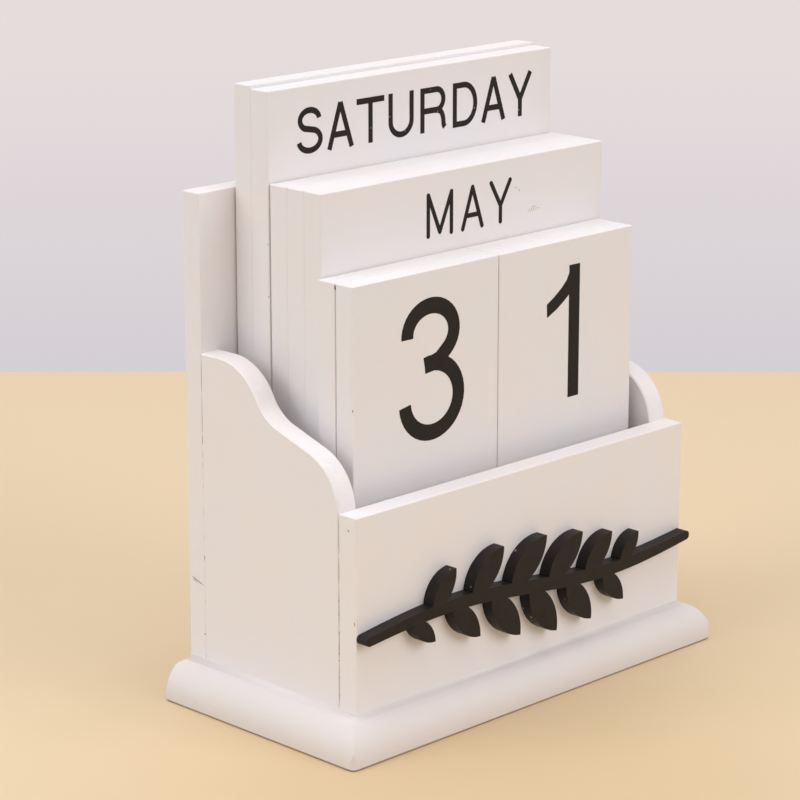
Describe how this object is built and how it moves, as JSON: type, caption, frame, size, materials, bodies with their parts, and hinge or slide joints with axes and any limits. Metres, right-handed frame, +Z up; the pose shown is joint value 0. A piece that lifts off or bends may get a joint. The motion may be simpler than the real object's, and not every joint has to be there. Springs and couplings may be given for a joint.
{
  "type": "perpetual desk calendar",
  "caption": "White wooden perpetual desk calendar: open-top tray with scalloped sides on a moulded base, holding loose date planks in stepped rows.",
  "frame": {"origin": "middle of the base's underside", "axes": "+Z up, -Y towards the front wall and the shown faces of the planks, +X to the right seen from the front"},
  "size_m": [0.1564, 0.0794, 0.1831],
  "materials": {
    "white_base": "satin white paint on board",
    "white_wall": "satin white paint on board",
    "white_plank": "satin white paint on board, black printed lettering",
    "black_cutout": "matt black paint on thin board"
  },
  "bodies": {
    "tray": {"base_plate": "white_base", "back_panel": "white_wall", "side_panel_left": "white_wall", "side_panel_right": "white_wall", "front_panel": "white_wall", "front_sprig": "black_cutout"},
    "weekday_plank_rear": {"weekday_plank_rear": "white_plank"},
    "weekday_plank_front": {"weekday_plank_front": "white_plank"},
    "month_plank_rear": {"month_plank_rear": "white_plank"},
    "month_plank_mid": {"month_plank_mid": "white_plank"},
    "month_plank_front": {"month_plank_front": "white_plank"},
    "digit_plank_left_rear": {"digit_plank_left_rear": "white_plank"},
    "digit_plank_left_front": {"digit_plank_left_front": "white_plank"},
    "digit_plank_right_rear": {"digit_plank_right_rear": "white_plank"},
    "digit_plank_right_front": {"digit_plank_right_front": "white_plank"}
  },
  "joints": [
    {"name": "weekday_rear_lift", "type": "slide", "parent": "tray", "child": "weekday_plank_rear", "axis": [0, 0, 1], "range_m": [0, 0.175]},
    {"name": "weekday_front_lift", "type": "slide", "parent": "tray", "child": "weekday_plank_front", "axis": [0, 0, 1], "range_m": [0, 0.175]},
    {"name": "month_rear_lift", "type": "slide", "parent": "tray", "child": "month_plank_rear", "axis": [0, 0, 1], "range_m": [0, 0.175]},
    {"name": "month_mid_lift", "type": "slide", "parent": "tray", "child": "month_plank_mid", "axis": [0, 0, 1], "range_m": [0, 0.175]},
    {"name": "month_front_lift", "type": "slide", "parent": "tray", "child": "month_plank_front", "axis": [0, 0, 1], "range_m": [0, 0.175]},
    {"name": "digit_left_rear_lift", "type": "slide", "parent": "tray", "child": "digit_plank_left_rear", "axis": [0, 0, 1], "range_m": [0, 0.175]},
    {"name": "digit_left_front_lift", "type": "slide", "parent": "tray", "child": "digit_plank_left_front", "axis": [0, 0, 1], "range_m": [0, 0.175]},
    {"name": "digit_right_rear_lift", "type": "slide", "parent": "tray", "child": "digit_plank_right_rear", "axis": [0, 0, 1], "range_m": [0, 0.175]},
    {"name": "digit_right_front_lift", "type": "slide", "parent": "tray", "child": "digit_plank_right_front", "axis": [0, 0, 1], "range_m": [0, 0.175]}
  ]
}
